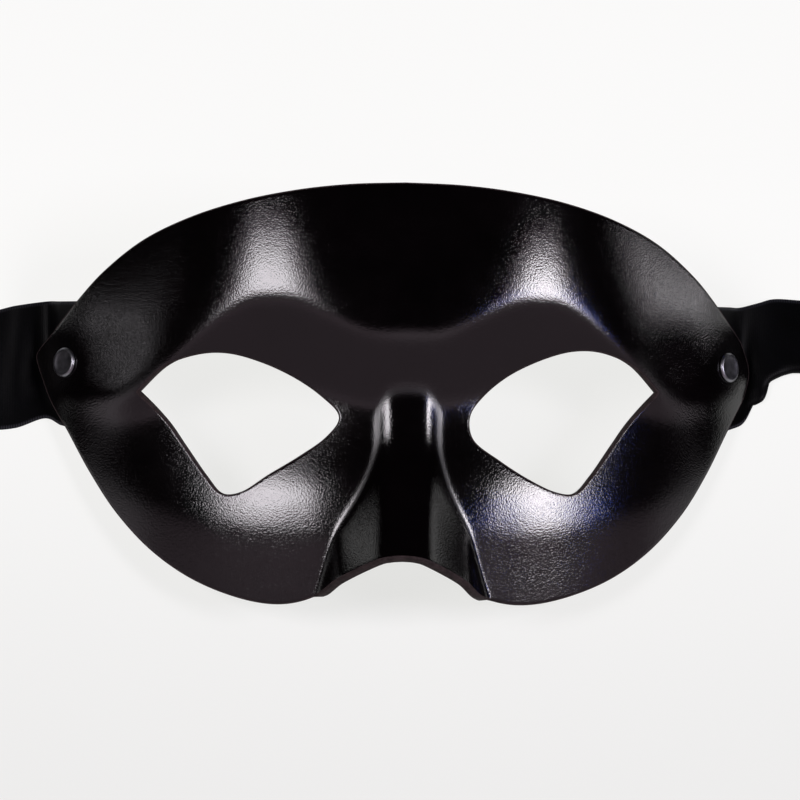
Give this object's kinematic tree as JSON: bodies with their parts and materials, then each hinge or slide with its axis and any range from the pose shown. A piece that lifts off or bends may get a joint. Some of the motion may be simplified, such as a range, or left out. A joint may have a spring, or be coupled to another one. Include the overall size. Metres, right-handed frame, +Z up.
{
  "type": "leather eye mask",
  "caption": "Wet-formed black leather half mask with eye holes, a ridged nose and a nose notch, with riveted ribbon ties wound up at its sides.",
  "frame": {"origin": "on the table, under the middle of the whole object as it lies with its wearer's side down", "axes": "+X to the viewer's right along the eyes, +Y towards the forehead edge, +Z up from the table"},
  "size_m": [0.278, 0.0792, 0.0468],
  "materials": {
    "leather": "satin gloss",
    "ribbon": "woven satin",
    "rivet": "satin gunmetal"
  },
  "bodies": {
    "root": {"leather_mask": "leather", "rivet_left": "rivet", "rivet_right": "rivet", "ribbon_left": "ribbon", "ribbon_right": "ribbon"}
  },
  "joints": []
}
